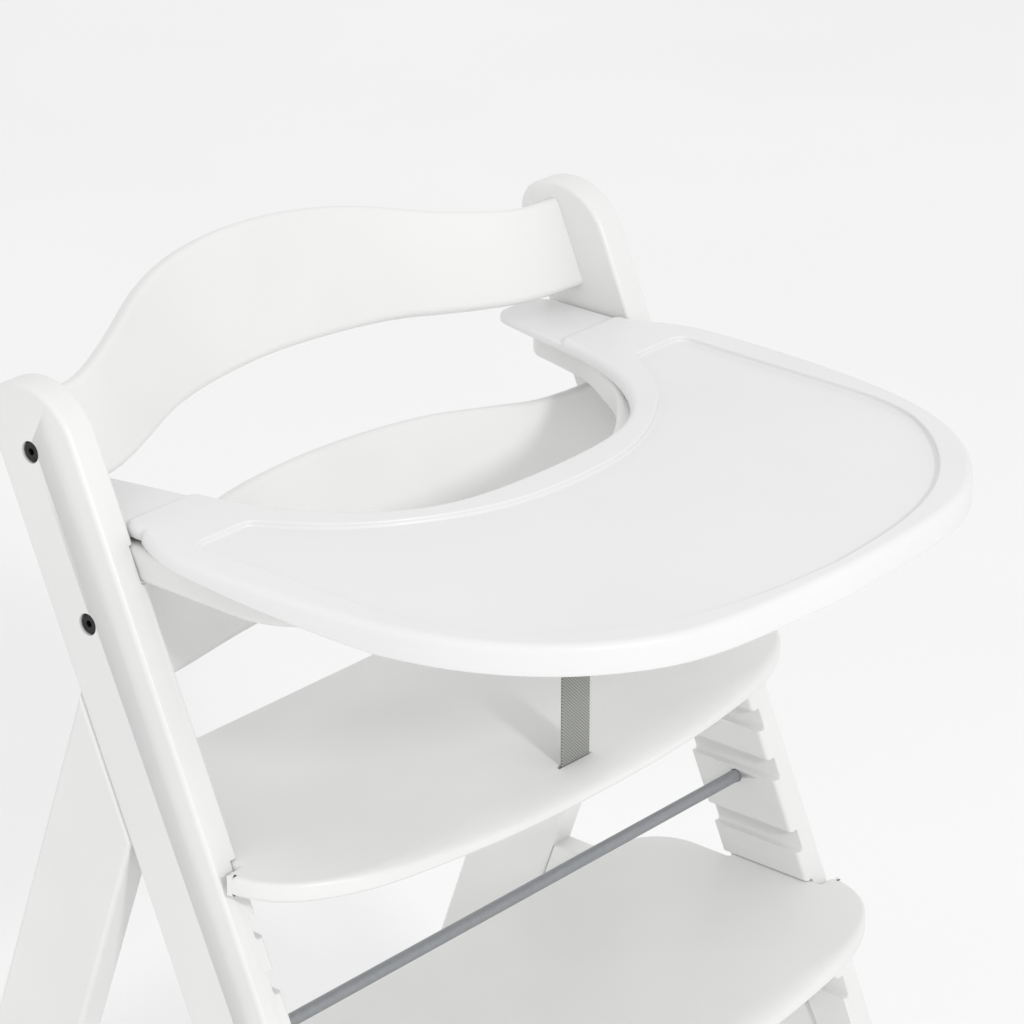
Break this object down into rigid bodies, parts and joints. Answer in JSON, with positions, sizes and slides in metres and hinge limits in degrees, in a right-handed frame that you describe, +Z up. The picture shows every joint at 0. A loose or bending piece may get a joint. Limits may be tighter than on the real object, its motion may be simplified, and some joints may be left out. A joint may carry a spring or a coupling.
{
  "type": "baby high chair",
  "caption": "Leaning-post high chair with grooved uprights, sliding seat and foot boards, bent backrests, bumper bar, crotch strap and a removable rimmed tray.",
  "frame": {"origin": "on the floor, under the middle of the chair's bounding box", "axes": "+Z up, -Y the way the child faces, +X to the child's left"},
  "size_m": [0.47, 0.571, 0.798],
  "materials": {
    "frame_lacquer": "satin white lacquer on solid timber",
    "board_lacquer": "satin white lacquer on bent and flat board",
    "tray_plastic": "moulded white plastic, soft sheen",
    "clip_plastic": "moulded white plastic",
    "webbing": "grey woven webbing",
    "stop_plastic": "black plastic",
    "rod_steel": "grey painted steel rod",
    "black_bolts": "black oxide socket bolts"
  },
  "bodies": {
    "chair_frame": {"upright_left": "frame_lacquer", "upright_right": "frame_lacquer", "rear_leg_left": "frame_lacquer", "rear_leg_right": "frame_lacquer", "side_strut_left": "frame_lacquer", "side_strut_right": "frame_lacquer", "rear_crossbar": "frame_lacquer", "upper_backrest": "board_lacquer", "lower_backrest": "board_lacquer", "bumper_bar": "board_lacquer", "crotch_strap": "webbing", "seat_rod": "rod_steel", "foot_rod": "rod_steel", "upper_backrest_bolts": "black_bolts", "lower_backrest_bolts": "black_bolts", "seat_rod_screws": "black_bolts", "foot_rod_screws": "black_bolts", "crossbar_bolts": "black_bolts"},
    "seat": {"seat_board": "board_lacquer", "strap_stop": "stop_plastic"},
    "footrest": {"foot_board": "board_lacquer"},
    "tray_unit": {"tray": "tray_plastic", "tray_clips": "clip_plastic"}
  },
  "joints": [
    {"name": "tray_slide", "type": "slide", "parent": "chair_frame", "child": "tray_unit", "axis": [0, -1, 0], "range_m": [0, 0.12]},
    {"name": "seat_slide", "type": "slide", "parent": "chair_frame", "child": "seat", "axis": [0, -1, 0], "range_m": [0, 0.03], "deforming": ["crotch_strap"]},
    {"name": "foot_slide", "type": "slide", "parent": "chair_frame", "child": "footrest", "axis": [0, -1, 0], "range_m": [0, 0.05]}
  ]
}
